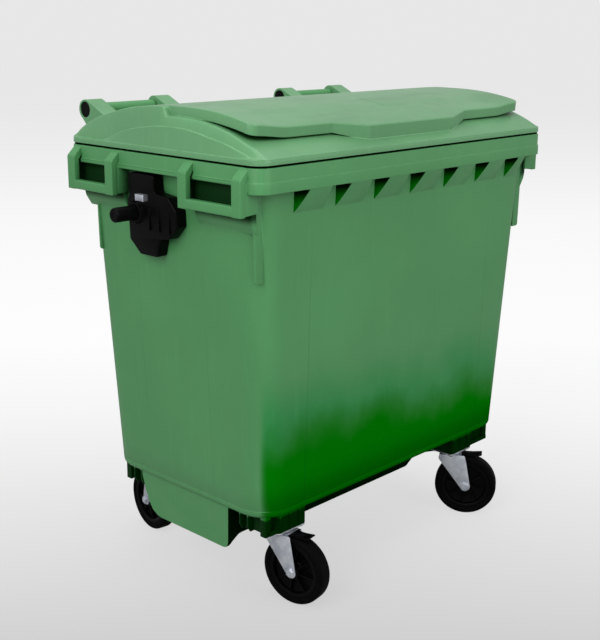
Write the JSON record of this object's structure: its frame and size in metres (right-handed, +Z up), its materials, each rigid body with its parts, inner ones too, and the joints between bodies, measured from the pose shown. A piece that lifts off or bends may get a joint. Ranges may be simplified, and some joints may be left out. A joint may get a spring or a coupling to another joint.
{
  "type": "four-wheeled refuse container",
  "caption": "Large domed-lid refuse container with hinged lid, side handles, lifting trunnions, comb rim and swivel castors with foot brakes.",
  "frame": {"origin": "bottom centre of the bounding box, on the ground between the four wheels", "axes": "+Z up, +X towards the right side seen from the front, +Y from the comb front towards the lid hinges at the back"},
  "size_m": [1.412, 0.8588, 1.3686],
  "materials": {
    "body_green": "fine satin moulded polyethylene",
    "lid_green": "fine satin moulded polyethylene, lighter",
    "black_plastic": "satin black",
    "tyre_rubber": "matt solid rubber",
    "zinc_steel": "bluish zinc plate"
  },
  "bodies": {
    "bin": {"body_tub": "body_green", "hinge_pin_left": "black_plastic", "hinge_pin_right": "black_plastic", "trunnion_bracket_left": "black_plastic", "trunnion_pin_left": "black_plastic", "trunnion_lock_left": "zinc_steel", "trunnion_bracket_right": "black_plastic", "trunnion_pin_right": "black_plastic", "trunnion_lock_right": "zinc_steel", "castor_plate_fl": "zinc_steel", "castor_kingpin_fl": "zinc_steel", "castor_bolt_fl_1": "zinc_steel", "castor_bolt_fl_2": "zinc_steel", "castor_bolt_fl_3": "zinc_steel", "castor_bolt_fl_4": "zinc_steel", "castor_plate_fr": "zinc_steel", "castor_kingpin_fr": "zinc_steel", "castor_bolt_fr_1": "zinc_steel", "castor_bolt_fr_2": "zinc_steel", "castor_bolt_fr_3": "zinc_steel", "castor_bolt_fr_4": "zinc_steel", "castor_plate_bl": "zinc_steel", "castor_kingpin_bl": "zinc_steel", "castor_bolt_bl_1": "zinc_steel", "castor_bolt_bl_2": "zinc_steel", "castor_bolt_bl_3": "zinc_steel", "castor_bolt_bl_4": "zinc_steel", "castor_plate_br": "zinc_steel", "castor_kingpin_br": "zinc_steel", "castor_bolt_br_1": "zinc_steel", "castor_bolt_br_2": "zinc_steel", "castor_bolt_br_3": "zinc_steel", "castor_bolt_br_4": "zinc_steel"},
    "lid": {"lid": "lid_green"},
    "castor_fl": {"castor_fork_fl": "zinc_steel", "castor_race_fl": "zinc_steel", "axle_bolt_fl": "zinc_steel", "axle_nut_fl": "zinc_steel"},
    "wheel_fl": {"wheel_tyre_fl": "tyre_rubber", "wheel_core_fl": "black_plastic"},
    "castor_fr": {"castor_fork_fr": "zinc_steel", "castor_race_fr": "zinc_steel", "axle_bolt_fr": "zinc_steel", "axle_nut_fr": "zinc_steel"},
    "wheel_fr": {"wheel_tyre_fr": "tyre_rubber", "wheel_core_fr": "black_plastic"},
    "castor_bl": {"castor_fork_bl": "zinc_steel", "castor_race_bl": "zinc_steel", "axle_bolt_bl": "zinc_steel", "axle_nut_bl": "zinc_steel"},
    "wheel_bl": {"wheel_tyre_bl": "tyre_rubber", "wheel_core_bl": "black_plastic"},
    "castor_br": {"castor_fork_br": "zinc_steel", "castor_race_br": "zinc_steel", "axle_bolt_br": "zinc_steel", "axle_nut_br": "zinc_steel"},
    "wheel_br": {"wheel_tyre_br": "tyre_rubber", "wheel_core_br": "black_plastic"},
    "brake_fl": {"brake_pedal_fl": "black_plastic"},
    "brake_fr": {"brake_pedal_fr": "black_plastic"}
  },
  "joints": [
    {"name": "lid_hinge", "type": "hinge", "parent": "bin", "child": "lid", "pos_m": [0, 0.40092, 1.33], "axis": [-1, 0, 0], "range_deg": [0, 250]},
    {"name": "castor_swivel_fl", "type": "hinge", "parent": "bin", "child": "castor_fl", "pos_m": [-0.435, -0.27408, 0.212], "axis": [0, 0, 1], "continuous": true},
    {"name": "wheel_spin_fl", "type": "hinge", "parent": "castor_fl", "child": "wheel_fl", "pos_m": [-0.4264, -0.3284, 0.1], "axis": [0.9877, 0.1564, 0], "continuous": true},
    {"name": "castor_swivel_fr", "type": "hinge", "parent": "bin", "child": "castor_fr", "pos_m": [0.368, -0.27408, 0.212], "axis": [0, 0, 1], "continuous": true},
    {"name": "wheel_spin_fr", "type": "hinge", "parent": "castor_fr", "child": "wheel_fr", "pos_m": [0.39715, -0.32072, 0.1], "axis": [0.848, 0.5299, 0], "continuous": true},
    {"name": "castor_swivel_bl", "type": "hinge", "parent": "bin", "child": "castor_bl", "pos_m": [-0.405, 0.27392, 0.212], "axis": [0, 0, 1], "continuous": true},
    {"name": "wheel_spin_bl", "type": "hinge", "parent": "castor_bl", "child": "wheel_bl", "pos_m": [-0.39735, 0.32838, 0.1], "axis": [-0.9903, 0.1392, 0], "continuous": true},
    {"name": "castor_swivel_br", "type": "hinge", "parent": "bin", "child": "castor_br", "pos_m": [0.385, 0.27392, 0.212], "axis": [0, 0, 1], "continuous": true},
    {"name": "wheel_spin_br", "type": "hinge", "parent": "castor_br", "child": "wheel_br", "pos_m": [0.41082, 0.32248, 0.1], "axis": [-0.8829, 0.4695, 0], "continuous": true},
    {"name": "brake_tread_fl", "type": "hinge", "parent": "castor_fl", "child": "brake_fl", "pos_m": [-0.42804, -0.31803, 0.2045], "axis": [0.9877, 0.1564, 0], "range_deg": [0, 7]},
    {"name": "brake_tread_fr", "type": "hinge", "parent": "castor_fr", "child": "brake_fr", "pos_m": [0.39158, -0.31182, 0.2045], "axis": [0.848, 0.5299, 0], "range_deg": [0, 7]}
  ]
}
